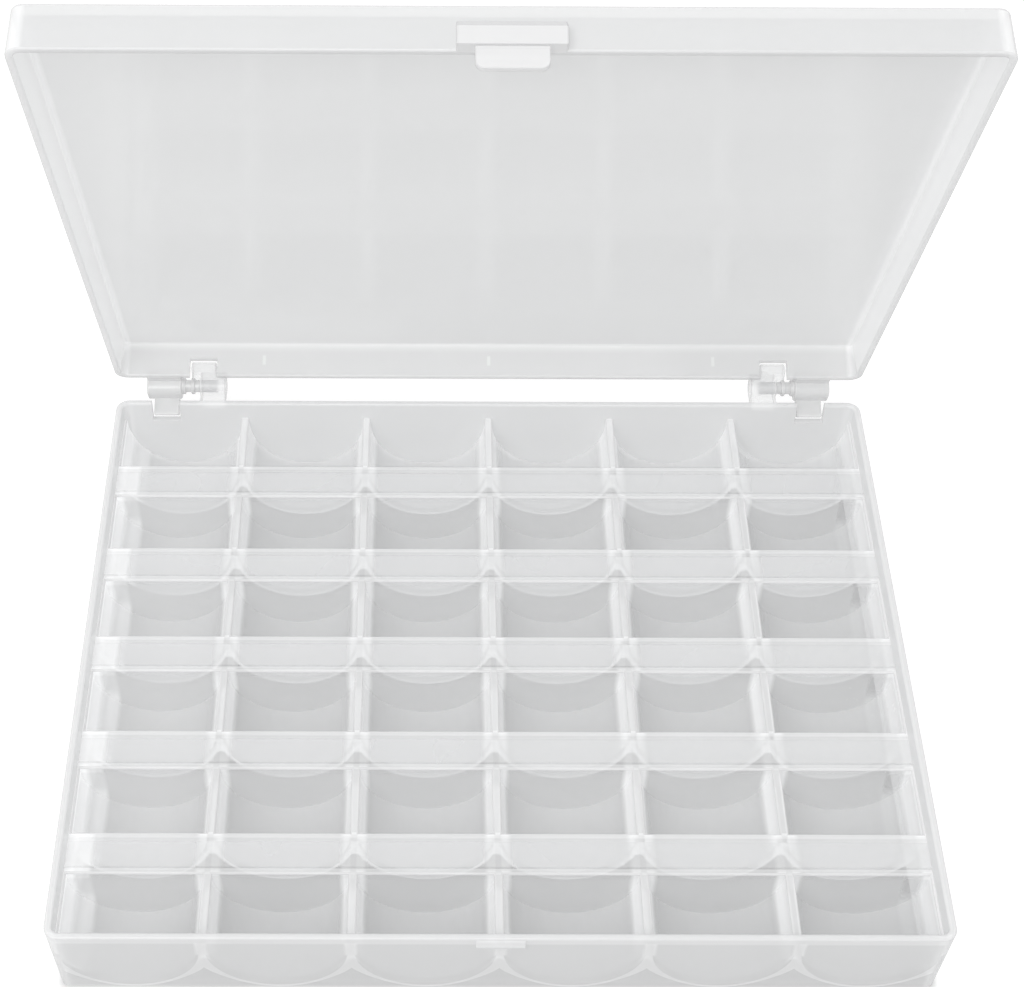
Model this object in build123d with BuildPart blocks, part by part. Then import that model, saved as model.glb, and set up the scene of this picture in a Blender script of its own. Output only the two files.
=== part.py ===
"""A 36-place bobbin and thread box: a shallow tray of round-bottomed cells under a hinged lid.

Frame: millimetres, +Z up. The front, where the latch is, faces -Y. The lid stands open, as it
does in use, and the origin is on the table under the middle of the open box's outline.
"""
import math
import os

from build123d import *

# ---- driving dimensions -------------------------------------------------------------------
# tray shell
tray_width = 145.0
tray_depth = 119.0
tray_height = 17.0
tray_wall = 1.2
corner_radius = 2.5
draft = 3.0
rim_round = 0.35

# cells
columns = 6
rows = 6
rim_to_deck = 3.6
divider = 1.45
end_margin = 0.4
cell_wall = 1.0
cell_length = 12.8
trough_skin = 1.0
foot_clearance = 0.25
deck_skin = 1.1
cusp_round = 0.8

# lid shell
lid_height = 8.0
lid_wall = 1.2
lid_plate = 1.2
lid_edge_round = 0.6
rim_gap = 0.2
rest_opening = 68.0

# hinges
hinge_back = 3.6
pin_diameter = 2.4
pin_clearance = 0.05
bracket_inner_x = 51.4
bracket_length = 5.0
bracket_half = 2.4
bracket_round = 1.6
bore_depth = 3.4
pin_end_gap = 0.4
knuckle_inner_x = 60.0
knuckle_length = 6.7
knuckle_half = 2.3
knuckle_round = 1.6
knuckle_web = 2.2
collar_length = 0.7
collar_extra = 0.8
collar_pitch = 1.8
tray_notch_x = 63.0
tray_notch_width = 5.4
tray_notch_depth = 4.5
lid_notch_x = 55.5
lid_notch_width = 5.3
lid_notch_depth = 3.6
fin_play = 0.25
knuckle_fin_near = 0.7
knuckle_fin_far = 2.5
knuckle_fin_reach = 5.75
bracket_fin_near = -0.2
bracket_fin_far = 2.0
bracket_fin_foot = 1.9
bracket_fin_reach = 5.0

# latch
pad_width = 16.0
pad_height = 5.0
pad_depth = 2.05
tab_width = 10.7
tab_drop = 4.0
tab_skin = 1.1
tab_corner = 1.3
tab_root_gap = 0.05
hook_width = 7.8
hook_height = 1.0
hook_reach = 0.75
hook_below_rim = 2.0
catch_width = 7.9
catch_reach = 0.7
catch_top = 0.4
catch_height = 1.3

# ---- derived places -----------------------------------------------------------------------
lean = math.tan(math.radians(draft))
deck_top = tray_height - rim_to_deck
inner_width = tray_width - 2 * tray_wall
inner_depth = tray_depth - 2 * tray_wall
inner_width_at_deck = inner_width - 2 * rim_to_deck * lean
inner_depth_at_deck = inner_depth - 2 * rim_to_deck * lean
cell_width = (inner_width_at_deck - 2 * end_margin - (columns - 1) * divider) / columns
cell_radius = cell_width / 2
column_pitch = cell_width + divider
trough_bottom = foot_clearance + trough_skin
trough_centre = trough_bottom + cell_radius
row_pitch = (inner_depth_at_deck - cell_length) / (rows - 1)
cell_xs = [(i - (columns - 1) / 2) * column_pitch for i in range(columns)]

lid_rim = rim_gap / 2
opening = math.radians(rest_opening)
lid_corner_in = hinge_back + lid_height * lean
lid_corner_up = lid_rim + lid_height
lid_corner_cut = lid_edge_round * (math.cos(opening) + math.sin(opening) - 1)
lid_corner_y = lid_corner_up * math.sin(opening) - lid_corner_in * math.cos(opening)
lid_overhang = hinge_back + lid_corner_y - lid_corner_cut
tray_y = (catch_reach - lid_overhang) / 2
tray_front = tray_y - tray_depth / 2
tray_back = tray_y + tray_depth / 2
hinge_y = tray_back + hinge_back
hinge_z = tray_height + lid_rim
lid_frame = Plane(
    origin=(0, hinge_y, hinge_z),
    x_dir=(1, 0, 0),
    z_dir=(0, math.sin(opening), math.cos(opening)),
)
lid_back_way = Axis(origin=lid_frame.origin, direction=lid_frame.y_dir)
lid_up_way = Axis(origin=lid_frame.origin, direction=lid_frame.z_dir)
lid_middle = -(hinge_back + tray_depth / 2)
lid_front = -(hinge_back + tray_depth)
SIDES = {"left": -1, "right": 1}


def lid_section(x):
    """The plane across the lid at x: its sketch axes are the lid's own back and up."""
    origin = lid_frame.from_local_coords(Vector(x, 0, 0))
    return Plane(origin=origin, x_dir=lid_frame.y_dir, z_dir=lid_frame.x_dir)


def row_centre(row):
    """The y of a row's middle; row 1 is at the hinge side."""
    first = tray_y + inner_depth_at_deck / 2 - cell_length / 2
    return first - (row - 1) * row_pitch


def finish(part, name):
    """Label one finished piece and write its STEP file."""
    part.label = name
    export_step(part, f"parts/{name}.step")


os.makedirs("parts", exist_ok=True)

# ---- tray shell ---------------------------------------------------------------------------
with BuildPart() as tray_outer:
    with BuildSketch(Plane.XY.offset(tray_height)):
        with Locations((0, tray_y)):
            RectangleRounded(tray_width, tray_depth, corner_radius)
    extrude(amount=-tray_height, taper=draft)

with BuildPart() as tray_inner:
    with BuildSketch(Plane.XY.offset(tray_height)):
        with Locations((0, tray_y)):
            RectangleRounded(inner_width, inner_depth, corner_radius - tray_wall)
    extrude(amount=-tray_height, taper=draft)

with BuildPart() as tray_shell:
    add(tray_outer.part)
    add(tray_inner.part, mode=Mode.SUBTRACT)
    fillet(tray_shell.edges().group_by(Axis.Z)[-1], rim_round)
    with Locations(*[(side * tray_notch_x, tray_back, tray_height) for side in SIDES.values()]):
        Box(tray_notch_width, 4 * tray_wall, 2 * tray_notch_depth, mode=Mode.SUBTRACT)
finish(tray_shell.part, "tray_shell")

# ---- cell rows ----------------------------------------------------------------------------
with BuildSketch(Plane.XZ) as cell_hollows:
    for cell_x in cell_xs:
        with Locations((cell_x, trough_centre)):
            Circle(cell_radius)
        with Locations((cell_x, (trough_centre + tray_height) / 2)):
            Rectangle(cell_width, tray_height - trough_centre)

with BuildSketch(Plane.XZ) as row_outline:
    for cell_x in cell_xs:
        with Locations((cell_x, trough_centre)):
            Circle(cell_radius + trough_skin)
    with Locations((0, tray_height)):
        Rectangle(2 * tray_width, 2 * (tray_height - trough_centre))
    cusps = row_outline.vertices().filter_by(lambda v: v.Y < trough_centre - cusp_round)
    fillet(cusps, cusp_round)
    with Locations((0, deck_top + tray_height)):
        Rectangle(3 * tray_width, 2 * tray_height, mode=Mode.SUBTRACT)

for row in range(1, rows + 1):
    row_y = row_centre(row)
    row_back = row_y + cell_length / 2 + cell_wall
    cell_back = row_y + cell_length / 2
    with BuildPart() as cell_row:
        with BuildSketch(Plane.XZ.offset(-row_back)):
            add(row_outline.sketch)
        extrude(amount=cell_length + 2 * cell_wall)
        with BuildSketch(Plane.XZ.offset(-cell_back)):
            add(cell_hollows.sketch)
        extrude(amount=cell_length, mode=Mode.SUBTRACT)
        add(tray_inner.part, mode=Mode.INTERSECT)
    finish(cell_row.part, f"cell_row_{row}")

bridge_length = row_pitch - cell_length - 2 * cell_wall
for row in range(1, rows):
    with BuildPart() as row_bridge:
        with BuildSketch(Plane.XY.offset(deck_top)):
            with Locations((0, row_centre(row) - row_pitch / 2)):
                Rectangle(2 * tray_width, bridge_length)
        extrude(amount=-deck_skin)
        add(tray_inner.part, mode=Mode.INTERSECT)
    finish(row_bridge.part, f"row_bridge_{row}")

# ---- tray hinge brackets ------------------------------------------------------------------
bore_radius = pin_diameter / 2 + pin_clearance
web_height = bracket_half - rim_gap
bracket_fin_width = lid_notch_width - 2 * fin_play
bracket_fin_thickness = bracket_fin_far - bracket_fin_near
bracket_fin_height = bracket_fin_reach - bracket_fin_foot
bracket_fin_y = hinge_y + (bracket_fin_near + bracket_fin_far) / 2
for side_name, side in SIDES.items():
    inner_x = side * bracket_inner_x
    outer_x = side * (bracket_inner_x + bracket_length)
    section = Plane.YZ.offset(min(inner_x, outer_x))
    with BuildPart() as bracket:
        with BuildSketch(section):
            with Locations((hinge_y, hinge_z)):
                RectangleRounded(2 * bracket_half, 2 * bracket_half, bracket_round)
            with Locations((hinge_y - hinge_back, hinge_z - rim_gap - web_height / 2)):
                Rectangle(2 * hinge_back, web_height)
        extrude(amount=bracket_length)
        with BuildSketch(Plane.YZ.offset(side * lid_notch_x - bracket_fin_width / 2)):
            with Locations((hinge_y, hinge_z)):
                Circle(bracket_fin_reach)
            with Locations((bracket_fin_y, hinge_z + bracket_fin_reach)):
                Rectangle(bracket_fin_thickness, bracket_fin_height * 2, mode=Mode.INTERSECT)
        extrude(amount=bracket_fin_width)
        with BuildSketch(Plane.YZ.offset(outer_x)):
            with Locations((hinge_y, hinge_z)):
                Circle(bore_radius)
        extrude(amount=-side * bore_depth, mode=Mode.SUBTRACT)
        add(tray_outer.part, mode=Mode.SUBTRACT)
    finish(bracket.part, f"hinge_bracket_{side_name}")

# ---- tray catch ---------------------------------------------------------------------------
with BuildPart() as latch_catch:
    with BuildSketch(Plane.YZ.offset(-catch_width / 2)):
        with BuildLine():
            top_z = tray_height - catch_top
            Polyline(
                (tray_front + tray_wall, top_z),
                (tray_front, top_z),
                (tray_front - catch_reach, top_z - catch_height + catch_height / 3),
                (tray_front - catch_reach, top_z - catch_height),
                (tray_front + tray_wall, top_z - catch_height),
                close=True,
            )
        make_face()
    extrude(amount=catch_width)
    add(tray_outer.part, mode=Mode.SUBTRACT)
finish(latch_catch.part, "latch_catch")

# ---- lid shell ----------------------------------------------------------------------------
with BuildPart() as lid_outer:
    with BuildSketch(lid_frame.offset(lid_rim)):
        with Locations((0, lid_middle)):
            RectangleRounded(tray_width, tray_depth, corner_radius)
    extrude(amount=lid_height, taper=draft)

with BuildPart() as lid_shell:
    add(lid_outer.part)
    fillet(lid_shell.faces().sort_by(lid_up_way)[-1].edges(), lid_edge_round)
    with BuildSketch(lid_frame.offset(lid_rim)):
        with Locations((0, lid_middle)):
            RectangleRounded(tray_width - 2 * lid_wall, tray_depth - 2 * lid_wall, corner_radius - lid_wall)
    extrude(amount=lid_height - lid_plate, taper=draft, mode=Mode.SUBTRACT)
    for side in SIDES.values():
        with BuildSketch(lid_frame):
            with Locations((side * lid_notch_x, -hinge_back)):
                Rectangle(lid_notch_width, 4 * lid_wall)
        extrude(amount=lid_rim + lid_notch_depth, mode=Mode.SUBTRACT)
finish(lid_shell.part, "lid_shell")

# ---- lid knuckles with their pins ---------------------------------------------------------
pin_length = knuckle_inner_x - bracket_inner_x - bracket_length + bore_depth - pin_end_gap
knuckle_fin_width = tray_notch_width - 2 * fin_play
knuckle_fin_thickness = knuckle_fin_far - knuckle_fin_near
knuckle_fin_y = (knuckle_fin_near + knuckle_fin_far) / 2
for side_name, side in SIDES.items():
    inner_x = side * knuckle_inner_x
    outer_x = side * (knuckle_inner_x + knuckle_length)
    with BuildPart() as knuckle:
        with BuildSketch(lid_section(min(inner_x, outer_x))):
            RectangleRounded(2 * knuckle_half, 2 * knuckle_half, knuckle_round)
            with Locations((-hinge_back, lid_rim + knuckle_web / 2)):
                Rectangle(2 * hinge_back, knuckle_web)
        extrude(amount=knuckle_length)
        with BuildSketch(lid_section(side * tray_notch_x - knuckle_fin_width / 2)):
            Circle(knuckle_fin_reach)
            with Locations((knuckle_fin_y, -knuckle_fin_reach)):
                Rectangle(knuckle_fin_thickness, 2 * knuckle_fin_reach, mode=Mode.INTERSECT)
        extrude(amount=knuckle_fin_width)
        with BuildSketch(lid_section(inner_x)):
            Circle(pin_diameter / 2)
        extrude(amount=-side * pin_length)
        for step in range(2):
            with BuildSketch(lid_section(inner_x - side * step * collar_pitch)):
                Circle(pin_diameter / 2 + collar_extra / 2)
            extrude(amount=-side * collar_length)
        add(lid_outer.part, mode=Mode.SUBTRACT)
    finish(knuckle.part, f"lid_knuckle_{side_name}")

# ---- latch --------------------------------------------------------------------------------
with BuildPart() as latch_pad:
    with BuildSketch(lid_section(-pad_width / 2)):
        with BuildLine():
            Polyline(
                (lid_front + lid_wall, lid_rim),
                (lid_front - pad_depth, lid_rim),
                (lid_front - pad_depth, lid_rim + pad_height - pad_depth),
                (lid_front, lid_rim + pad_height),
                (lid_front + lid_wall, lid_rim + pad_height),
                close=True,
            )
        make_face()
    extrude(amount=pad_width)
    add(lid_outer.part, mode=Mode.SUBTRACT)
finish(latch_pad.part, "latch_pad")

tab_outer_y = lid_front - pad_depth
tab_axis_y = tab_outer_y + tab_skin / 2
tab_axis_z = lid_rim - tab_root_gap - tab_skin / 2
with BuildPart() as latch_tab:
    with BuildSketch(lid_section(-tab_width / 2)):
        with BuildLine():
            CenterArc((tab_axis_y, tab_axis_z), tab_skin / 2, 0, 180)
            Polyline(
                (tab_outer_y, tab_axis_z),
                (tab_outer_y, lid_rim - tab_drop),
                (tab_outer_y + tab_skin, lid_rim - tab_drop),
                (tab_outer_y + tab_skin, tab_axis_z),
            )
        make_face()
    extrude(amount=tab_width)
    lower_corners = latch_tab.edges().filter_by(lid_back_way)
    fillet(lower_corners, tab_corner)
    with BuildSketch(lid_section(-hook_width / 2)):
        with BuildLine():
            hook_top = lid_rim - hook_below_rim
            hook_y = tab_outer_y + tab_skin
            Polyline(
                (hook_y - tab_skin / 2, hook_top),
                (hook_y + hook_reach, hook_top),
                (hook_y + hook_reach, hook_top - hook_height / 2),
                (hook_y, hook_top - hook_height),
                (hook_y - tab_skin / 2, hook_top - hook_height),
                close=True,
            )
        make_face()
    extrude(amount=hook_width)
finish(latch_tab.part, "latch_tab")
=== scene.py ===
"""The looks of the bobbin box: two clear frosted mouldings, a tray of round-bottomed cells and a
hinged lid with a flexing latch tab, on a pale table.

Sizes are in millimetres, also where a material uses a place; a finished mesh is scaled to metres.
Only the table's reach and the places of the lamp and the camera are in metres.
"""

import math

import bmesh
import bpy
from mathutils import Matrix, Vector


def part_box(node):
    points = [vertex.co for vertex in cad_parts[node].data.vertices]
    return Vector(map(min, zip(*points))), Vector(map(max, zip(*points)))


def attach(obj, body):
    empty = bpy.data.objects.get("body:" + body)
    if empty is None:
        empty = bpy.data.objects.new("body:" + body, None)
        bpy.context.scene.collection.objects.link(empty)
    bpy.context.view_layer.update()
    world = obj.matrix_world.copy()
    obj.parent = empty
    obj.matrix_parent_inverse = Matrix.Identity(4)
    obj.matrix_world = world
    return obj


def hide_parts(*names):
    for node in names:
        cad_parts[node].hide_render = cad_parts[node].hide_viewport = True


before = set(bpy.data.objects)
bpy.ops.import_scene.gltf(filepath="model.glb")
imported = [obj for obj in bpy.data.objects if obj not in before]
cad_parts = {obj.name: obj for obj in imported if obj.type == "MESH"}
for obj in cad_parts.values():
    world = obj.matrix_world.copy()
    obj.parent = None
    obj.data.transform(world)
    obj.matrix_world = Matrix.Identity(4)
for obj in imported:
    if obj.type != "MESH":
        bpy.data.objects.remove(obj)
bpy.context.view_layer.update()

# ---- sizes shared with the CAD model, in millimetres ----------------------------------------
TRAY_WIDTH, TRAY_DEPTH, TRAY_HEIGHT = 145.0, 119.0, 17.0
WALL = 1.2
CORNER = 2.5
LEAN = math.tan(math.radians(3.0))
COLUMNS, ROWS = 6, 6
DECK_TOP = 13.4
DECK_SKIN = 1.1
DIVIDER = 1.45
END_MARGIN = 0.4
CELL_LENGTH = 12.8
CELL_WALL = 1.0
SKIN = 1.0
FOOT_CLEARANCE = 0.25
INNER_WIDTH = TRAY_WIDTH - 2 * WALL - 2 * (TRAY_HEIGHT - DECK_TOP) * LEAN
INNER_DEPTH = TRAY_DEPTH - 2 * WALL - 2 * (TRAY_HEIGHT - DECK_TOP) * LEAN
CELL_WIDTH = (INNER_WIDTH - 2 * END_MARGIN - (COLUMNS - 1) * DIVIDER) / COLUMNS
CELL_RADIUS = CELL_WIDTH / 2
COLUMN_PITCH = CELL_WIDTH + DIVIDER
ROW_PITCH = (INNER_DEPTH - CELL_LENGTH) / (ROWS - 1)
TROUGH_Z = FOOT_CLEARANCE + SKIN + CELL_RADIUS
CELL_XS = [(i - (COLUMNS - 1) / 2) * COLUMN_PITCH for i in range(COLUMNS)]

LID_HEIGHT, LID_PLATE, LID_RIM = 8.0, 1.2, 0.1
HINGE_BACK = 3.6
OPENING = math.radians(68.0)
LID_FRONT = -(HINGE_BACK + TRAY_DEPTH)
LID_MIDDLE = -(HINGE_BACK + TRAY_DEPTH / 2)

BRACKET_X, BRACKET_LENGTH, BRACKET_HALF = 51.4, 5.0, 2.4
KNUCKLE_X, KNUCKLE_LENGTH, KNUCKLE_HALF, KNUCKLE_WEB = 60.0, 6.7, 2.3, 2.2
BLOCK_ROUND = 1.6
PIN_RADIUS, BORE_RADIUS, BORE_DEPTH, PIN_END_GAP = 1.2, 1.25, 3.4, 0.4
COLLAR_RADIUS, COLLAR_LENGTH, COLLAR_PITCH = 1.6, 0.7, 1.8
TRAY_NOTCH_X, TRAY_NOTCH_WIDTH, TRAY_NOTCH_DEPTH = 63.0, 5.4, 4.5
LID_NOTCH_X, LID_NOTCH_WIDTH, LID_NOTCH_DEPTH = 55.5, 5.3, 3.6
FIN_PLAY = 0.25
BRACKET_FIN_NEAR, BRACKET_FIN_FAR, BRACKET_FIN_FOOT, BRACKET_FIN_REACH = -0.2, 2.0, 1.9, 5.0
KNUCKLE_FIN_NEAR, KNUCKLE_FIN_FAR, KNUCKLE_FIN_REACH = 0.7, 2.5, 5.75

PAD_WIDTH, PAD_HEIGHT, PAD_DEPTH = 16.0, 5.0, 2.05
TAB_WIDTH, TAB_DROP, TAB_SKIN, TAB_CORNER, TAB_ROOT_GAP = 10.7, 4.0, 1.1, 1.3, 0.05
HOOK_WIDTH, HOOK_HEIGHT, HOOK_REACH, HOOK_BELOW_RIM = 7.8, 1.0, 0.75, 2.0
CATCH_WIDTH, CATCH_REACH, CATCH_TOP, CATCH_HEIGHT = 7.9, 0.7, 0.4, 1.3

tray_low, tray_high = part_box("tray_shell")
TRAY_Y = (tray_low.y + tray_high.y) * 500
HINGE_Y = TRAY_Y + TRAY_DEPTH / 2 + HINGE_BACK
HINGE_Z = TRAY_HEIGHT + LID_RIM
TRAY_FRONT = TRAY_Y - TRAY_DEPTH / 2

# Places that the plastic's opacity, painted glow and painted shade start from.
FRONT_WALL_Y = TRAY_FRONT + 0.46
SIDE_WALL_X = 70.0
ROW_END_X = 66.4
TICK_PITCH, TICK_Z = 43.7, 23.0
BACK_WALL_Y = HINGE_Y - 5.2
TRAY_BACK_TOP, LID_BACK_TOP, LID_BROW = 21.5, 23.6, 128.5

# The kinds of face, in the order of a piece's materials. The lid's third is its thick plastic.
PLAIN, EDGE, OUTER = 0, 1, 2
THICK = OUTER


# ---- materials ------------------------------------------------------------------------------
class Val:
    """A node socket that takes part in Python sums."""

    def __init__(self, paint, socket):
        self.paint = paint
        self.socket = socket

    def maths(self, operation, *values):
        return self.paint.node("ShaderNodeMath", {"operation": operation}, dict(enumerate(values)))

    def __add__(self, other):
        return self.maths("ADD", self, other)

    __radd__ = __add__

    def __sub__(self, other):
        return self.maths("SUBTRACT", self, other)

    def __rsub__(self, other):
        return self.maths("SUBTRACT", other, self)

    def __mul__(self, other):
        return self.maths("MULTIPLY", self, other)

    __rmul__ = __mul__

    def clear(self):
        """The same value held between 0 and 1."""
        return self.paint.node("ShaderNodeClamp", {}, {0: self})

    def size(self):
        return self.maths("ABSOLUTE", self)

    def root(self):
        return self.maths("SQRT", self)

    def at_least(self, other):
        return self.maths("MAXIMUM", self, other)

    def wrapped(self, period):
        """The value's distance from the nearest whole period."""
        return self.maths("PINGPONG", self, period / 2)

    def ramp(self, start, stop):
        """0 below start, 1 above stop, smooth between them."""
        settings = {"interpolation_type": "SMOOTHSTEP"}
        links = {"Value": self, "From Min": start, "From Max": stop, "To Min": 0.0, "To Max": 1.0}
        return self.paint.node("ShaderNodeMapRange", settings, links)


class Paint:
    """The nodes of a material or of the world, with short ways to add to them."""

    def __init__(self, owner, shader="Principled BSDF"):
        owner.use_nodes = True
        self.owner = owner
        self.tree = owner.node_tree
        self.shader = self.tree.nodes[shader]

    def link(self, node, links):
        for key, value in links.items():
            socket = node.inputs[key]
            if isinstance(value, Val):
                self.tree.links.new(value.socket, socket)
            else:
                socket.default_value = value

    def node(self, kind, settings, links, output=0):
        """A node of this kind, its settings made first, then the values or links of its sockets."""
        made = self.tree.nodes.new(kind)
        for key, value in settings.items():
            setattr(made, key, value)
        self.link(made, links)
        return Val(self, made.outputs[output])

    def place(self):
        """The spot in the piece's own frame in metres, then its x, y and z in millimetres."""
        spot = self.node("ShaderNodeTexCoord", {}, {}, "Object")
        return spot, [self.node("ShaderNodeSeparateXYZ", {}, {0: spot}, i) * 1000 for i in range(3)]

    def ray(self, kind):
        """1 for rays of this kind and 0 for others."""
        return self.node("ShaderNodeLightPath", {}, {}, f"Is {kind} Ray")

    def looked_at(self):
        """1 where a spot is seen, straight, mirrored or through something, and 0 as a light."""
        return (self.ray("Camera") + self.ray("Glossy") + self.ray("Transmission")).clear()

    def noise(self, spot, scale, detail, roughness=0.5):
        links = {"Vector": spot, "Scale": scale, "Detail": detail, "Roughness": roughness}
        return self.node("ShaderNodeTexNoise", {}, links, 0)

    def mix(self, factor, low, high):
        """A colour between two colours."""
        links = {0: factor, 6: low, 7: high}
        return self.node("ShaderNodeMix", {"data_type": "RGBA"}, links, 2)

    def bump(self, height, distance, strength, under=None):
        links = {"Height": height, "Distance": distance, "Strength": strength}
        if under is not None:
            links["Normal"] = under
        return self.node("ShaderNodeBump", {}, links)

    def finish(self, **sockets):
        self.link(self.shader, {key.replace("_", " "): value for key, value in sockets.items()})
        return self.owner


def new_paint(name):
    """A new material's nodes. Its glow is too faint to be worth sampling as a lamp."""
    material = bpy.data.materials.new(name)
    material.cycles.emission_sampling = "NONE"
    return Paint(material)


def grey(level):
    return (level, level, level, 1.0)


def shaded(tint, share):
    return [c * share for c in tint] + [1.0]


def row_middle(row):
    """The y of a row's middle; row 0 is at the hinge side."""
    return TRAY_Y + INNER_DEPTH / 2 - CELL_LENGTH / 2 - row * ROW_PITCH


def trough_depth(x, z):
    """The distance from the middle line of the nearest column of troughs."""
    aside = COLUMN_PITCH / 2 - x.wrapped(COLUMN_PITCH)
    below = (TROUGH_Z - z).at_least(0.0)
    return (aside * aside + below * below).root()


def front_plates(x, y, z):
    """The troughs' skins where they meet a row's front plate, filled in towards the cusps between
    them; and the part of the plate inside the troughs."""
    depth = trough_depth(x, z)
    inside = 1 - depth.ramp(CELL_RADIUS + 0.02, CELL_RADIUS + 0.28)
    reach = z.ramp(2.0, 8.5) * 1.2 + CELL_RADIUS + 0.62
    skin = (1 - inside) * (1 - (depth - reach).ramp(0.0, 0.3))
    middle = row_middle(0) - CELL_LENGTH / 2 - CELL_WALL / 2
    front = 1 - (y - middle).wrapped(ROW_PITCH).ramp(1.1, 1.5)
    shown = front * (1 - x.size().ramp(SIDE_WALL_X, SIDE_WALL_X + 0.6))
    return skin * shown, inside * shown


def tray_opacity_and_painted_glow(x, y, z):
    """Where the tray's plastic is thicker, and where it has painted glow for light scattered in it: between
    two hollows, beside the walls, over the tops of the plates, up the troughs' sides and along their ends.
    Painted shade dims the right-hand end, the deck's top and a line along each back plate; the front plates'
    tops get a painted highlight."""
    aside = x.wrapped(COLUMN_PITCH)
    along = (y - row_middle(0)).wrapped(ROW_PITCH)
    within = 1 - along.ramp(6.0, 7.4)
    between = (1 - aside.ramp(1.4, 2.5)) * (within * 0.78 + 0.22) * z.ramp(6.0, 8.5)
    between = between * (aside.ramp(0.3, 0.7) * 0.45 + 0.55)
    beside = x.size().ramp(ROW_END_X, ROW_END_X + 1.0) * z.ramp(2.2, 4.2)
    # Painted shade: the right-hand end is dimmer.
    right_end_painted_shade = beside * x.ramp(0.0, 10.0)
    near_deck = z.ramp(DECK_TOP - 0.4, DECK_TOP - 0.1)
    plates = along.ramp(6.1, 6.5) * (1 - along.ramp(7.2, 7.6)) * near_deck
    sides = z.ramp(1.2, 5.5) * (1 - z.ramp(9.5, 11.5))
    skin, _ = front_plates(x, y, z)
    skin = skin * (1 - z.ramp(12.0, 12.8))
    steep = z.ramp(5.0, 8.0) * (1 - z.ramp(11.5, 12.5))
    below = 1 - z.ramp(11.5, 12.5)
    back = row_middle(0) + CELL_LENGTH / 2 + CELL_WALL / 2
    back = 1 - (y - back).wrapped(ROW_PITCH).ramp(1.4, 1.8)
    # Painted highlight along the tops of the front plates.
    lip_painted_highlight = (1 - back) * along.ramp(6.2, 6.6) * (1 - along.ramp(8.0, 8.2)) * near_deck
    # Painted shade: a dark line along the back plates' tops.
    crease_painted_shade = back * along.ramp(7.34, 7.46) * (1 - along.ramp(7.70, 7.82)) * near_deck
    # More opacity where the plastic is thicker, with painted shade and a painted highlight added in.
    added_opacity = between * 0.42 + beside * (0.2 - steep * 0.14) + plates * 0.14 + skin * 0.2
    added_opacity = added_opacity + below * 0.03 - 0.03 - right_end_painted_shade * 0.16 + lip_painted_highlight * 0.1 - crease_painted_shade * 0.22
    # Painted glow, for light scattered in the plastic.
    glow = between * 0.5 + beside * (0.46 - steep * 0.22) + plates * 0.06 + lip_painted_highlight * 0.06 + skin * 0.36
    glow = glow - right_end_painted_shade * 0.4 + sides * 0.07 + below * 0.05
    return added_opacity, glow.clear()


def wall_opacity_and_painted_glow(x, y, z):
    """The wall has painted glow where the troughs' ends and dividers stand behind it, where it is also a
    little more opaque, and painted highlights along its front's top and foot and along the side walls.
    """
    skin, inside = front_plates(x, y, z)
    divider = 1 - x.wrapped(COLUMN_PITCH).ramp(0.6, 1.3)
    skin = skin.at_least(divider * skin.at_least(z.ramp(11.0, 12.0)))
    front = 1 - (y - FRONT_WALL_Y).size().ramp(0.5, 0.8)
    skin = skin * front * (1 - z.ramp(15.0, 16.0))
    top = z.ramp(15.0, 15.7) * front
    sides = x.size().ramp(SIDE_WALL_X - 1.0, SIDE_WALL_X)
    foot = (1 - z.ramp(0.4, 1.0)) * front
    return skin * 0.12, (skin * 0.42 + inside * 0.08 + top * 0.6 + sides * 0.2 + foot * 0.45).clear()


def lid_opacity_and_painted_glow(x, y, z):
    """The lid's plastic has painted glow along its two side walls, where it is also a little cloudier, and
    three ticks on its back wall drawn in painted glow.
    """
    sides = x.size().ramp(SIDE_WALL_X - 0.5, SIDE_WALL_X + 0.5)
    tick = (1 - x.wrapped(TICK_PITCH).ramp(0.2, 0.4)) * (1 - (z - TICK_Z).size().ramp(0.3, 0.5))
    tick = tick * (y - HINGE_Y).ramp(-3.0, -2.5) * (1 - sides)
    return sides * 0.1, (sides + tick * 0.8).clear()


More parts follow.
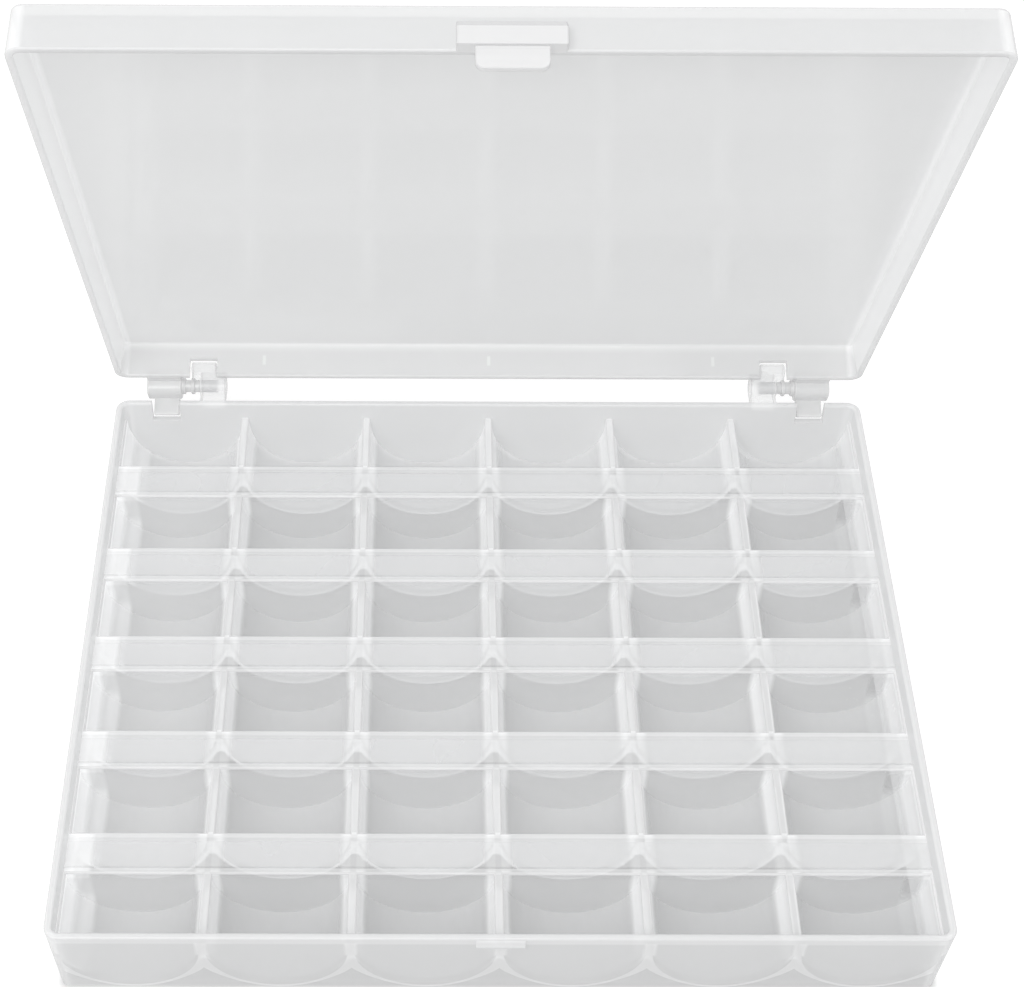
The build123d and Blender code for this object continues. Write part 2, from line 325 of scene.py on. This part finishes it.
def frosted(name, tint, cloud, grain, gloss, glow=0.0, opacity_and_painted_glow=None, painted_shade=1.0, coat=0.0):
    """Clear polypropylene. How cloudy it is varies a little with the flow of the moulding. Near the hinge
    its colour can be darkened as painted shade, a coated one has painted shade along its raised front end,
    and its glow is painted light."""
    paint = new_paint(name)
    spot, (x, y, z) = paint.place()
    flow = paint.noise(spot, 22.0, 3.0)
    fine = paint.noise(spot, 900.0, 2.0)
    speck = paint.noise(spot, 3000.0, 1.0)
    tone = (flow - 0.5) * 0.06
    colour = paint.mix((tone * 4 + 0.5).clear(), shaded(tint, 0.97), shaded(tint, 1.0))
    back_top = LID_BACK_TOP if coat else TRAY_BACK_TOP
    # Painted shade: low down near the hinge's back wall the colour is darkened.
    low_down = z.ramp(-0.1, 0.8) * (1 - z.ramp(back_top, back_top + 1.0))
    off_the_back = 1 - (y - BACK_WALL_Y).ramp(0.0, 0.8) * low_down
    colour = paint.mix(off_the_back, shaded(tint, painted_shade), colour)
    if coat:
        paint.finish(Coat_Weight=coat, Coat_Roughness=0.03, Coat_IOR=1.7)
        # Painted shade: the lid's raised front end is darker.
        colour = paint.mix(z.ramp(LID_BROW, LID_BROW + 1.5), colour, shaded(tint, 0.93))
    alpha = tone + cloud
    # Painted glow: white emission, limited to the marks where there are any, stands in for light scattered
    # in the plastic.
    painted_glow_colour = grey(1.0)
    if opacity_and_painted_glow:
        added_opacity, painted_glow = opacity_and_painted_glow(x, y, z)
        alpha = alpha + added_opacity
        painted_glow_colour = paint.mix(painted_glow, grey(0.0), grey(1.0))
    rough = ((flow - 0.5) * 0.10 + (fine - 0.5) * 0.06 + gloss).clear()
    wave = paint.bump(flow, 0.0006, 0.1)
    skin = paint.bump(fine * 0.7 + speck * 0.3, 0.00002, grain, wave)
    return paint.finish(Base_Color=colour, Alpha=alpha.clear(), Roughness=rough, Normal=skin, IOR=1.49,
                        Emission_Color=painted_glow_colour, Emission_Strength=glow)


# Six copies of one clear plastic, their tints set apart as painted light and shade, darker on the tray's
# wall and on the edges; glow is painted light, and a painted shade darkens some of them near the hinge.
tray_plastic = frosted("tray_plastic", (0.90, 0.905, 0.91), cloud=0.31, grain=0.12, gloss=0.24,
                       glow=0.25, opacity_and_painted_glow=tray_opacity_and_painted_glow)
tray_edge = frosted("tray_edge", (0.86, 0.86, 0.865), cloud=0.60, grain=0.2, gloss=0.2,
                    glow=0.02, painted_shade=0.88)
tray_wall = frosted("tray_wall", (0.79, 0.795, 0.80), cloud=0.60, grain=0.12, gloss=0.22,
                    glow=0.18, opacity_and_painted_glow=wall_opacity_and_painted_glow)
lid_plastic = frosted("lid_plastic", (0.85, 0.855, 0.86), cloud=0.50, grain=0.06, gloss=0.06,
                      glow=0.14, opacity_and_painted_glow=lid_opacity_and_painted_glow, painted_shade=0.78, coat=0.4)
lid_thick = frosted("lid_thick", (0.87, 0.87, 0.875), cloud=0.60, grain=0.2, gloss=0.16)
lid_edge = frosted("lid_edge", (0.80, 0.80, 0.805), cloud=0.56, grain=0.2, gloss=0.2, painted_shade=0.9)


# ---- mesh making ----------------------------------------------------------------------------
def rounded(width, depth, radius, steps=7):
    """Points round a rectangle with rounded corners, about its middle."""
    points = []
    for right, back, start in ((1, 1, 0), (-1, 1, 90), (-1, -1, 180), (1, -1, 270)):
        for k in range(steps + 1):
            turn = math.radians(start + 90 * k / steps)
            middle = (right * (width / 2 - radius), back * (depth / 2 - radius))
            points.append((middle[0] + radius * math.cos(turn), middle[1] + radius * math.sin(turn)))
    return points


def arc(middle, radius, start, stop, steps):
    turns = [math.radians(start + (stop - start) * k / steps) for k in range(steps + 1)]
    return [(middle[0] + radius * math.cos(t), middle[1] + radius * math.sin(t)) for t in turns]


def solid(bm, name):
    """An object from a closed bmesh, its faces turned outwards."""
    bmesh.ops.recalc_face_normals(bm, faces=bm.faces)
    mesh = bpy.data.meshes.new(name)
    bm.to_mesh(mesh)
    bm.free()
    for material in (tray_plastic, tray_edge, tray_wall):
        mesh.materials.append(material)
    return bpy.data.objects.new(name, mesh)


def swept(name, profile, middle_y, closed):
    """A rounded rectangle carried along a profile of (inset, height, face kind) points."""
    bm = bmesh.new()
    loops = []
    for inset, height, _ in profile:
        radius = max(CORNER - inset, 0.3)
        ring = rounded(TRAY_WIDTH - 2 * inset, TRAY_DEPTH - 2 * inset, radius)
        loops.append([bm.verts.new((x, middle_y + y, height)) for x, y in ring])
    count = len(loops[0])
    spans = list(zip(loops, loops[1:], [p[2] for p in profile]))
    if closed:
        spans.append((loops[-1], loops[0], profile[-1][2]))
    for low, high, kind in spans:
        for i in range(count):
            j = (i + 1) % count
            bm.faces.new((low[i], low[j], high[j], high[i])).material_index = kind
    if not closed:
        for loop in (loops[0], loops[-1]):
            bm.faces.new(loop)
    return solid(bm, name)


def prism(name, section, start, stop, place, edge=0.0, kind=PLAIN, edge_kind=EDGE):
    """A section of (a, b) points carried from start to stop; place() puts (along, a, b) in space.
    The two end outlines are rounded by edge, and the rounding is edge-coloured."""
    bm = bmesh.new()
    ends = [[bm.verts.new(place(t, a, b)) for a, b in section] for t in (start, stop)]
    count = len(section)
    for i in range(count):
        j = (i + 1) % count
        bm.faces.new((ends[0][i], ends[0][j], ends[1][j], ends[1][i]))
    for end in ends:
        bm.faces.new(end)
    for face in bm.faces:
        face.material_index = kind
    bmesh.ops.recalc_face_normals(bm, faces=bm.faces)
    if edge:
        rims = [e for e in bm.edges if (e.verts[0] in ends[0]) == (e.verts[1] in ends[0])]
        made = bmesh.ops.bevel(bm, geom=rims, offset=edge, segments=2, profile=0.5, affect="EDGES",
                               clamp_overlap=True, loop_slide=True)
        for face in made["faces"]:
            face.material_index = edge_kind
    return solid(bm, name)


def along_y(t, a, b):
    return (a, t, b)


def along_x(t, a, b):
    return (t, a, b)


def combined(target, operation, others):
    """The target joined with, or cut by, other solids, which are used up."""
    tools = bpy.data.collections.new("tools")
    bpy.context.scene.collection.objects.link(target)
    for other in others:
        tools.objects.link(other)
    step = target.modifiers.new("step", "BOOLEAN")
    step.operation = operation
    step.solver = "EXACT"
    step.operand_type = "COLLECTION"
    step.collection = tools
    shape = target.evaluated_get(bpy.context.evaluated_depsgraph_get())
    target.data = bpy.data.meshes.new_from_object(shape)
    target.modifiers.clear()
    bpy.context.scene.collection.objects.unlink(target)
    for other in others:
        bpy.data.objects.remove(other)
    bpy.data.collections.remove(tools)
    return target


def finished(piece, name, materials, body, nodes, turn=None):
    """Scale a made solid to metres, colour and smooth it, and set it riding on its body."""
    piece.name = name
    mesh = piece.data
    mesh.name = name
    if turn is not None:
        mesh.transform(turn)
    mesh.transform(Matrix.Scale(0.001, 4))
    bm = bmesh.new()
    bm.from_mesh(mesh)
    bmesh.ops.remove_doubles(bm, verts=bm.verts, dist=2e-6)
    bmesh.ops.dissolve_degenerate(bm, edges=bm.edges, dist=1e-6)
    bm.to_mesh(mesh)
    bm.free()
    kinds = [face.material_index for face in mesh.polygons]
    mesh.materials.clear()
    for material in materials:
        mesh.materials.append(material)
    for face, kind in zip(mesh.polygons, kinds):
        face.material_index = kind
    mesh.shade_smooth()
    mesh.set_sharp_from_angle(angle=math.radians(32))
    bpy.context.scene.collection.objects.link(piece)
    even = piece.modifiers.new("even", "WEIGHTED_NORMAL")
    even.keep_sharp = True
    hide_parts(*nodes)
    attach(piece, body)
    return piece


# ---- the tray moulding ----------------------------------------------------------------------
def wall_ring():
    """The outer wall: drafted, with a rounded rim and a small rounding at its foot."""
    rim, foot = 0.42, 0.2
    profile = [(foot + TRAY_HEIGHT * LEAN, 0.0, EDGE), (TRAY_HEIGHT * LEAN, foot, OUTER)]
    for k in range(4):
        turn = math.radians(30 * k)
        drop = rim * (1 - math.sin(turn))
        inset = rim * (1 - math.cos(turn)) + rim * LEAN
        profile.append((inset, TRAY_HEIGHT - drop, EDGE if k < 3 else OUTER))
    for k in range(4):
        turn = math.radians(30 * (3 - k))
        drop = rim * (1 - math.sin(turn))
        inset = WALL - rim * (1 - math.cos(turn)) + rim * LEAN
        profile.append((inset, TRAY_HEIGHT - drop, EDGE if k < 3 else OUTER))
    profile.append((WALL + TRAY_HEIGHT * LEAN, foot, EDGE))
    profile.append((WALL - foot + TRAY_HEIGHT * LEAN, 0.0, EDGE))
    return swept("ring", profile, TRAY_Y, True)


def row_outline(top):
    """The underside of one row across the tray: six round troughs that meet in soft cusps."""
    cusp_half, cusp_rise, side_gap = 0.55, 0.22, 0.02
    radius = CELL_RADIUS + SKIN
    half = math.degrees(math.acos((COLUMN_PITCH / 2 - cusp_half) / radius))
    points = [(CELL_XS[0] - radius + side_gap, top)]
    for i, x in enumerate(CELL_XS):
        start = 180 if i == 0 else 180 + half
        stop = 360 if i == COLUMNS - 1 else 360 - half
        points += arc((x, TROUGH_Z), radius, start, stop, 26)
        if i < COLUMNS - 1:
            points.append((x + COLUMN_PITCH / 2, points[-1][1] + cusp_rise))
    points.append((CELL_XS[-1] + radius - side_gap, top))
    return points


def cell_cutter(x, front, back):
    """The hollow of one cell: a round trough with upright sides and a flared mouth."""
    flare = 0.34
    mouth = DECK_TOP - flare
    bm = bmesh.new()
    bowl = [(x - CELL_RADIUS, mouth)] + arc((x, TROUGH_Z), CELL_RADIUS, 180, 360, 30)
    bowl.append((x + CELL_RADIUS, mouth))
    ends = [[bm.verts.new((a, y, b)) for a, b in bowl] for y in (front, back)]
    for i in range(len(bowl) - 1):
        bm.faces.new((ends[0][i], ends[0][i + 1], ends[1][i + 1], ends[1][i]))
    for end in ends:
        bm.faces.new(end)
    low = [ends[0][0], ends[0][-1], ends[1][-1], ends[1][0]]
    for outward, upward, kind in ((0.13, 0.5, EDGE), (0.5, 0.87, EDGE), (1.0, 1.0, EDGE), (1.0, 4.0, PLAIN)):
        out = flare * outward
        z = mouth + flare * upward
        left, right = x - CELL_RADIUS - out, x + CELL_RADIUS + out
        spots = ((left, front - out), (right, front - out), (right, back + out), (left, back + out))
        high = [bm.verts.new((a, b, z)) for a, b in spots]
        for i in range(4):
            j = (i + 1) % 4
            bm.faces.new((low[i], low[j], high[j], high[i])).material_index = kind
        low = high
    bm.faces.new(low)
    bmesh.ops.recalc_face_normals(bm, faces=bm.faces)
    return solid(bm, "cell")


def box_section(low_a, high_a, low_b, high_b):
    return [(low_a, low_b), (high_a, low_b), (high_a, high_b), (low_a, high_b)]


def slab(name, low, high):
    """A plain block between two corners."""
    section = box_section(low[0], high[0], low[2], high[2])
    return prism(name, section, low[1], high[1], along_y)


def fin(low_a, high_a, foot, reach, way, middle):
    """A fin's section: upright sides from foot, closed by an arc about the hinge pin."""
    tops = []
    for k in range(7):
        a = low_a + (high_a - low_a) * k / 6
        tops.append((a, way * math.sqrt(reach * reach - a * a)))
    points = [(low_a, foot)] + tops + [(high_a, foot)]
    return [(middle[0] + a, middle[1] + b) for a, b in points]


def block(half, radius, middle):
    """A rounded square section about a pin."""
    return [(middle[0] + a, middle[1] + b) for a, b in rounded(2 * half, 2 * half, radius, 5)]


def disc(radius, middle, steps=28):
    return arc(middle, radius, 0, 360 - 360 / steps, steps - 1)


def bracket(side):
    """The tray's half of one hinge: a bored block on a short web, with an upright fin."""
    axis = (HINGE_Y, HINGE_Z)
    inner, outer = side * BRACKET_X, side * (BRACKET_X + BRACKET_LENGTH)
    web = box_section(HINGE_Y - HINGE_BACK - 0.7, HINGE_Y - 0.5, HINGE_Z - 2.35, HINGE_Z - 0.2)
    upright = fin(BRACKET_FIN_NEAR, BRACKET_FIN_FAR, BRACKET_FIN_FOOT, BRACKET_FIN_REACH, 1, axis)
    fin_half = LID_NOTCH_WIDTH / 2 - FIN_PLAY
    fin_near, fin_far = side * (LID_NOTCH_X - fin_half), side * (LID_NOTCH_X + fin_half)
    parts = [
        prism("web", web, inner * 1.0005, outer * 0.9995, along_x, 0.25),
        prism("upright", upright, fin_near, fin_far, along_x, 0.25),
    ]
    body = block(BRACKET_HALF, BLOCK_ROUND, axis)
    made = combined(prism("block", body, inner, outer, along_x, 0.3), "UNION", parts)
    bore = prism("bore", disc(BORE_RADIUS, axis), outer - side * BORE_DEPTH, outer + side, along_x)
    return combined(made, "DIFFERENCE", [bore])


def catch():
    """The small ledge under the rim that the latch snaps over."""
    top = TRAY_HEIGHT - CATCH_TOP
    foot = top - CATCH_HEIGHT
    front, root, slope = TRAY_FRONT - CATCH_REACH, TRAY_FRONT + 0.6, 0.87
    section = [
        (root, top), (TRAY_FRONT + 0.02, top), (front, top - slope), (front, foot), (root, foot),
    ]
    half = CATCH_WIDTH / 2
    return prism("catch", section, -half, half, along_x, 0.12, OUTER, OUTER)


def make_tray():
    into_wall, past_end = 0.42, 1.0
    half_x, half_y = INNER_WIDTH / 2 + 0.5, INNER_DEPTH / 2 + 0.5
    deck_low = (-half_x, TRAY_Y - half_y, DECK_TOP - DECK_SKIN)
    tray = slab("tray", deck_low, (half_x, TRAY_Y + half_y, DECK_TOP))
    troughs, hollows = [], []
    for row in range(ROWS):
        middle = row_middle(row)
        front = back = CELL_LENGTH / 2 + CELL_WALL
        cut_front = cut_back = CELL_LENGTH / 2
        if row == 0:
            back, cut_back = CELL_LENGTH / 2 + into_wall, CELL_LENGTH / 2 + past_end
        if row == ROWS - 1:
            front, cut_front = CELL_LENGTH / 2 + into_wall, CELL_LENGTH / 2 + past_end
        section = row_outline(DECK_TOP - 0.4)
        troughs.append(prism("trough", section, middle - front, middle + back, along_y, 0.42, PLAIN, PLAIN))
        hollows += [cell_cutter(x, middle - cut_front, middle + cut_back) for x in CELL_XS]
    tray = combined(tray, "UNION", troughs)
    tray = combined(tray, "DIFFERENCE", hollows)
    tray = combined(tray, "UNION", [wall_ring(), bracket(-1), bracket(1), catch()])
    notches = []
    half, tray_back = TRAY_NOTCH_WIDTH / 2, TRAY_Y + TRAY_DEPTH / 2
    low_z, high_z = TRAY_HEIGHT - TRAY_NOTCH_DEPTH, TRAY_HEIGHT + TRAY_NOTCH_DEPTH
    for side in (-1, 1):
        middle = side * TRAY_NOTCH_X
        section = box_section(middle - half, middle + half, low_z, high_z)
        inside, outside = tray_back - 2 * WALL, tray_back + 2 * WALL
        notches.append(prism("notch", section, inside, outside, along_y, 0.0, EDGE))
    tray = combined(tray, "DIFFERENCE", notches)
    nodes = ["tray_shell", "latch_catch", "hinge_bracket_left", "hinge_bracket_right"]
    nodes += [f"cell_row_{i + 1}" for i in range(ROWS)] + [f"row_bridge_{i + 1}" for i in range(ROWS - 1)]
    return finished(tray, "tray_moulding", (tray_plastic, tray_edge, tray_wall), "tray", nodes)


# ---- the lid moulding, made flat and turned up on its hinge ---------------------------------
UPRIGHT = Matrix.Translation((0, HINGE_Y, HINGE_Z)) @ Matrix.Rotation(-OPENING, 4, "X")


def lid_cap():
    """The lid's shell, swept from the middle of its top round the rim to its inner face."""
    top, corner, rim, inner = LID_RIM + LID_HEIGHT, 0.6, 0.35, 0.45
    profile = []
    for k in range(5):
        turn = math.radians(90 - 22.5 * k)
        height = top - corner + corner * math.sin(turn)
        inset = LEAN * (height - LID_RIM) + corner * (1 - math.cos(turn))
        profile.append((inset, height, EDGE if k < 4 else PLAIN))
    for k in range(4):
        turn = math.radians(30 * k)
        profile.append((rim * (1 - math.cos(turn)), LID_RIM + rim * (1 - math.sin(turn)), EDGE))
    for k in range(4):
        turn = math.radians(30 * (3 - k))
        inset = WALL - rim * (1 - math.cos(turn))
        profile.append((inset, LID_RIM + rim * (1 - math.sin(turn)), EDGE if k < 3 else PLAIN))
    ceiling = top - LID_PLATE
    for k in range(4):
        turn = math.radians(30 * k)
        height = ceiling - inner + inner * math.sin(turn)
        inset = WALL + LEAN * (height - LID_RIM) + inner * (1 - math.cos(turn))
        profile.append((inset, height, PLAIN))
    return swept("lid", profile, LID_MIDDLE, False)


def knuckle(side):
    """The lid's half of one hinge: a block on a web, its fin, and the pin with two collars."""
    axis = (0.0, 0.0)
    inner, outer = side * KNUCKLE_X, side * (KNUCKLE_X + KNUCKLE_LENGTH)
    web = box_section(-HINGE_BACK - 0.6, -0.5, LID_RIM, LID_RIM + KNUCKLE_WEB)
    hanging = fin(KNUCKLE_FIN_NEAR, KNUCKLE_FIN_FAR, 0.0, KNUCKLE_FIN_REACH, -1, axis)
    fin_half = TRAY_NOTCH_WIDTH / 2 - FIN_PLAY
    fin_near, fin_far = side * (TRAY_NOTCH_X - fin_half), side * (TRAY_NOTCH_X + fin_half)
    pin_end = side * (BRACKET_X + BRACKET_LENGTH - BORE_DEPTH + PIN_END_GAP)
    collar, spacing = side * COLLAR_LENGTH, side * COLLAR_PITCH
    parts = [
        prism("web", web, inner * 1.0005, outer * 0.9995, along_x, 0.25),
        prism("hanging", hanging, fin_near, fin_far, along_x, 0.25),
        prism("pin", disc(PIN_RADIUS, axis), pin_end, inner + side * 0.5, along_x, 0.2),
        prism("collar", disc(COLLAR_RADIUS, axis), inner - collar, inner + side * 0.3, along_x, 0.15, EDGE),
        prism("collar", disc(COLLAR_RADIUS, axis), inner - collar - spacing, inner - spacing, along_x,
              0.15, EDGE),
    ]
    body = block(KNUCKLE_HALF, BLOCK_ROUND, axis)
    return combined(prism("block", body, inner, outer, along_x, 0.3), "UNION", parts)


def pad():
    """The thick wedge on the lid's front wall that the latch tab hangs from."""
    root, front, top = LID_FRONT + 0.7, LID_FRONT - PAD_DEPTH, LID_RIM + PAD_HEIGHT
    section = [
        (root, LID_RIM), (front, LID_RIM), (front, top - PAD_DEPTH), (LID_FRONT + 0.1, top), (root, top),
    ]
    return prism("pad", section, -PAD_WIDTH / 2, PAD_WIDTH / 2, along_x, 0.3, THICK)


def make_lid():
    lid = combined(lid_cap(), "UNION", [knuckle(-1), knuckle(1), pad()])
    notches = []
    for side in (-1, 1):
        middle, half = side * LID_NOTCH_X, LID_NOTCH_WIDTH / 2
        section = box_section(middle - half, middle + half, -1.0, LID_RIM + LID_NOTCH_DEPTH)
        notches.append(prism("notch", section, -HINGE_BACK - 2.4, -HINGE_BACK + 0.6, along_y, 0.0, EDGE))
    lid = combined(lid, "DIFFERENCE", notches)
    nodes = ("lid_shell", "lid_knuckle_left", "lid_knuckle_right", "latch_pad")
    return finished(lid, "lid_moulding", (lid_plastic, lid_edge, lid_thick), "lid", nodes, UPRIGHT)


def make_tab():
    """The latch tab: a thin plate with rounded lower corners and a hook along its inner face."""
    outer = LID_FRONT - PAD_DEPTH
    inner = outer + TAB_SKIN
    root = LID_RIM - TAB_ROOT_GAP - TAB_SKIN / 2
    half, turned = TAB_WIDTH / 2, TAB_WIDTH / 2 - TAB_CORNER
    bend = LID_RIM - TAB_DROP + TAB_CORNER
    outline = [(-half, root), (-half, bend)]
    outline += arc((-turned, bend), TAB_CORNER, 180, 270, 6)[1:]
    outline += arc((turned, bend), TAB_CORNER, 270, 360, 6)
    outline.append((half, root))
    tab = prism("plate", outline, outer, inner, along_y, 0.2)
    round_end = disc(TAB_SKIN / 2, (outer + TAB_SKIN / 2, root), 20)
    round_root = prism("root", round_end, -half, half, along_x, 0.15)
    top = LID_RIM - HOOK_BELOW_RIM
    tip, foot, buried = inner + HOOK_REACH, top - HOOK_HEIGHT, inner - 0.4
    slope_top = top - HOOK_HEIGHT / 2
    ledge = [
        (buried, top), (tip, top), (tip, slope_top), (inner + 0.02, foot), (buried, foot),
    ]
    hook = prism("hook", ledge, -HOOK_WIDTH / 2, HOOK_WIDTH / 2, along_x, 0.1)
    tab = combined(tab, "UNION", [round_root, hook])
    return finished(tab, "latch_tab_moulding", (lid_thick, lid_edge), "latch", ("latch_tab",), UPRIGHT)


make_tray()
make_lid()
make_tab()


# ---- table, light and camera ----------------------------------------------------------------
TABLE_REACH = 3.0
TABLE_FADE = 120.0
FRAME_WIDTH = 1024
FOCAL_LENGTH_PIXELS = 2111.2
OPTICAL_CENTRE_PIXELS = 437.85
SENSOR_WIDTH = 36


def make_table():
    """A pale table, white beyond the box. Under the tray a shadow is painted into it, lighter at the left
    end, and in the plastic's reflections a painted shade dims it, most of all beside the tray towards the
    right."""
    mesh = bpy.data.meshes.new("table")
    corners = [(a * TABLE_REACH, b * TABLE_REACH, 0) for a, b in ((-1, -1), (1, -1), (1, 1), (-1, 1))]
    mesh.from_pydata(corners, [], [(0, 1, 2, 3)])
    table = bpy.data.objects.new("table", mesh)
    bpy.context.scene.collection.objects.link(table)
    paint = new_paint("table")
    spot, (x, y, _) = paint.place()
    cloud = paint.noise(spot, 3.0, 2.0)
    across = 1 - x.size().ramp(TRAY_WIDTH / 2 - 2.2, TRAY_WIDTH / 2 + 0.4)
    deep = 1 - (y - TRAY_Y).size().ramp(TRAY_DEPTH / 2 - 2.2, TRAY_DEPTH / 2 + 0.4)
    under = across * deep
    # Painted shadow under the tray: darker in colour, in the glow it gives off as light and in the glow that
    # is seen.
    colour = paint.mix(under, paint.mix(cloud, grey(0.36), grey(0.37)), grey(0.16))
    as_light = paint.mix(under, grey(0.30), grey(0.55))
    rightward = x.ramp(-TABLE_FADE, TABLE_FADE)
    ends = paint.mix(rightward, grey(0.32), grey(0.19))
    painted_shade = paint.mix(x.size().ramp(46.0, 60.0), grey(0.20), ends)
    direct = paint.mix(under, grey(0.72), painted_shade)
    # Painted shade in the plastic's reflections of the table, darkest beside the tray towards the right.
    beside = paint.mix(rightward, grey(0.36), grey(0.0))
    aside = x.size().ramp(TRAY_WIDTH / 2, TRAY_WIDTH / 2 + 12.0)
    mirrored = paint.mix(under, paint.mix(aside, grey(0.52), beside), grey(0.24))
    seen = paint.mix(paint.ray("Glossy"), direct, mirrored)
    glow = paint.mix(paint.looked_at(), as_light, seen)
    paint.finish(Base_Color=colour, Roughness=1.0, Emission_Color=glow, Emission_Strength=1.0)
    mesh.materials.append(paint.owner)


def make_lamp(name, place, aim, size, power):
    data = bpy.data.lights.new(name, "AREA")
    data.shape = "DISK"
    data.size = size
    data.energy = power
    lamp = bpy.data.objects.new(name, data)
    bpy.context.scene.collection.objects.link(lamp)
    lamp.location = place
    lamp.rotation_euler = (Vector(aim) - Vector(place)).to_track_quat("-Z", "Y").to_euler()


def make_world():
    """White to look at, a softer grey as light."""
    as_light = 0.68
    world = bpy.data.worlds.new("studio")
    bpy.context.scene.world = world
    sky = Paint(world, "Background")
    sky.finish(Color=grey(1.0), Strength=sky.looked_at() * (1.0 - as_light) + as_light)


def make_camera():
    """A long lens in front of the box, looking steeply down at the open tray."""
    data = bpy.data.cameras.new("camera")
    camera = bpy.data.objects.new("camera", data)
    bpy.context.scene.collection.objects.link(camera)
    bpy.context.scene.camera = camera
    lid_low, lid_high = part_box("lid_shell")
    width = lid_high.x - lid_low.x
    rim = Vector((0, (tray_low.y + tray_high.y) / 2, tray_high.z))
    from_rim_in_widths = Vector((-0.0816, -1.5836, 2.033))
    swing, down, roll = math.radians(-0.42), math.radians(48.08), math.radians(0.5)
    turn = Matrix.Rotation(swing, 3, "Z") @ Matrix.Rotation(math.radians(90) - down, 3, "X")
    turn = turn @ Matrix.Rotation(roll, 3, "Z")
    camera.matrix_world = Matrix.Translation(rim + width * from_rim_in_widths) @ turn.to_4x4()
    data.sensor_width = SENSOR_WIDTH
    data.lens = FOCAL_LENGTH_PIXELS / FRAME_WIDTH * SENSOR_WIDTH
    data.shift_x = (FRAME_WIDTH / 2 - OPTICAL_CENTRE_PIXELS) / FRAME_WIDTH
    data.clip_end = 10


make_table()
make_world()
make_lamp("key", (-0.25, -0.65, 1.0), (0, 0, 0.03), 0.9, 8.0)
make_camera()
bpy.context.scene.view_settings.view_transform = "Standard"
bpy.context.scene.cycles.transparent_max_bounces = 64
bpy.context.scene.cycles.caustics_reflective = False
